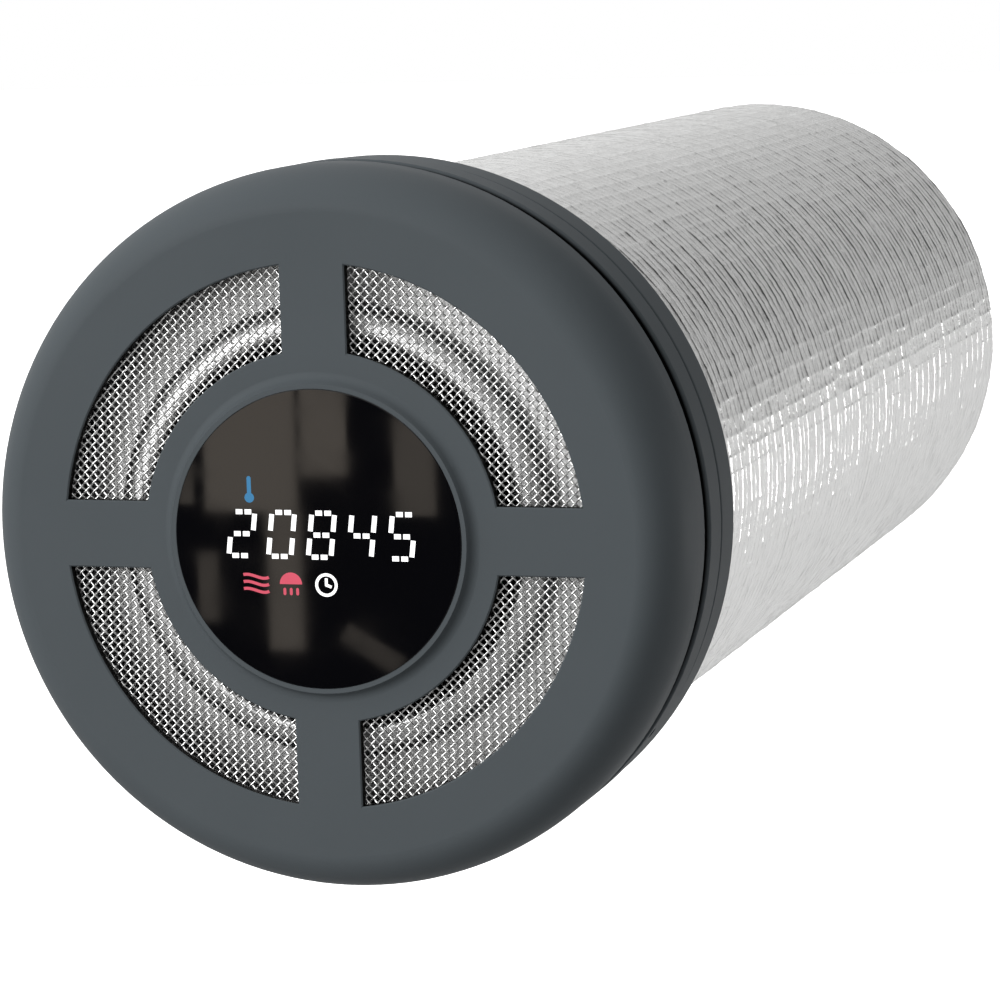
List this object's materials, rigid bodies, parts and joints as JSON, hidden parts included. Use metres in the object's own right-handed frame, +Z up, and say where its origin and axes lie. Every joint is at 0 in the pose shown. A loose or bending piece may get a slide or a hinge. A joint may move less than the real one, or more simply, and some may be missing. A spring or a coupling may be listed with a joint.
{
  "type": "through-wall heat-recovery ventilator",
  "caption": "Round room hood with mesh air windows and a lit display, on a foil-wrapped wall duct that holds a finned heat exchanger between two axial fans.",
  "frame": {"origin": "on the duct's axis, in the plane where the hood rests on the wall", "axes": "+Y along the duct from the room to the outdoors, +Z up, the hood's face looks along -Y"},
  "size_m": [0.218, 0.559, 0.218],
  "materials": {
    "cover_plastic": "satin slate-grey moulded plastic, fine spark texture",
    "black_glass": "polished black display glass",
    "lit_white": "lit white light guide",
    "lit_pink": "lit pink light guide",
    "lit_blue": "lit blue light guide",
    "light_box": "moulded off-white reflector",
    "board": "green solder mask",
    "screw_steel": "zinc-plated steel",
    "contact_brass": "gold-flashed brass",
    "mesh_steel": "woven stainless wire",
    "clamp_plastic": "black moulded plastic",
    "magnet": "nickel-plated magnet",
    "bell_aluminium": "spun bright aluminium",
    "foam_rubber": "closed-cell black foam",
    "rubber": "moulded black rubber",
    "module_case": "potted black case",
    "chip_black": "moulded black component cases",
    "terminal_plastic": "off-white nylon",
    "fan_plastic": "black glass-filled plastic",
    "bearing_steel": "ground bearing steel",
    "shaft_steel": "ground steel",
    "stator_steel": "laminated electrical steel",
    "ferrite": "ferrite magnet ring",
    "copper": "bright copper sheet",
    "end_plastic": "grey-white moulded plastic",
    "heater_steel": "sheathed heating element",
    "pipe_plastic": "grey extruded plastic pipe",
    "insulation_foam": "grey foam insulation",
    "foil": "crinkled scrim-reinforced aluminium foil",
    "tape": "smooth aluminium tape",
    "guard_steel": "black-painted steel grille"
  },
  "bodies": {
    "duct_unit": {"hood_base": "cover_plastic", "keeper_discs": "magnet", "lock_screw": "screw_steel", "wall_flange": "cover_plastic", "wall_gasket": "foam_rubber", "cable_grommet": "rubber", "base_screws": "screw_steel", "flange_screws": "screw_steel", "power_module": "module_case", "control_board": "board", "control_chips": "chip_black", "terminal_block": "terminal_plastic", "terminal_screws": "screw_steel", "pogo_block": "clamp_plastic", "pogo_pins": "contact_brass", "intake_bell": "bell_aluminium", "bell_screws": "screw_steel", "exchanger_end_room": "end_plastic", "exchanger_end_outdoor": "end_plastic", "exchanger_core": "copper", "exchanger_fins": "copper", "heater_rod": "heater_steel", "inner_pipe": "pipe_plastic", "front_collar": "pipe_plastic", "insulation_sleeve": "insulation_foam", "foil_jacket": "foil", "seam_tape": "tape", "rear_collar": "pipe_plastic", "outdoor_guard": "guard_steel", "guard_screws": "screw_steel", "supply_bell": "fan_plastic", "exhaust_fan_housing": "fan_plastic", "exhaust_fan_bearings": "bearing_steel", "exhaust_fan_stator": "stator_steel", "supply_fan_housing": "fan_plastic", "supply_fan_bearings": "bearing_steel", "supply_fan_stator": "stator_steel"},
    "cover": {"front_cover": "cover_plastic", "display_bezel": "cover_plastic", "display_glass": "black_glass", "display_digits": "lit_white", "icon_white": "lit_white", "icons_pink": "lit_pink", "icon_blue": "lit_blue", "segment_block": "light_box", "display_board": "board", "display_screws": "screw_steel", "display_strip": "board", "contact_pads": "contact_brass", "intake_mesh": "mesh_steel", "mesh_clamp_outer": "clamp_plastic", "mesh_clamp_inner": "clamp_plastic", "cover_magnets": "magnet"},
    "exhaust_rotor": {"exhaust_fan_impeller": "fan_plastic", "exhaust_fan_magnet_ring": "ferrite", "exhaust_fan_shaft": "shaft_steel"},
    "supply_rotor": {"supply_fan_impeller": "fan_plastic", "supply_fan_magnet_ring": "ferrite", "supply_fan_shaft": "shaft_steel"}
  },
  "joints": [
    {"name": "cover_pull", "type": "slide", "parent": "duct_unit", "child": "cover", "axis": [0, -1, 0], "range_m": [0, 0.06]},
    {"name": "exhaust_fan_spin", "type": "hinge", "parent": "duct_unit", "child": "exhaust_rotor", "pos_m": [0, -0.02, 0], "axis": [0, 1, 0], "continuous": true},
    {"name": "supply_fan_spin", "type": "hinge", "parent": "duct_unit", "child": "supply_rotor", "pos_m": [0, 0.438, 0], "axis": [0, 1, 0], "continuous": true}
  ]
}
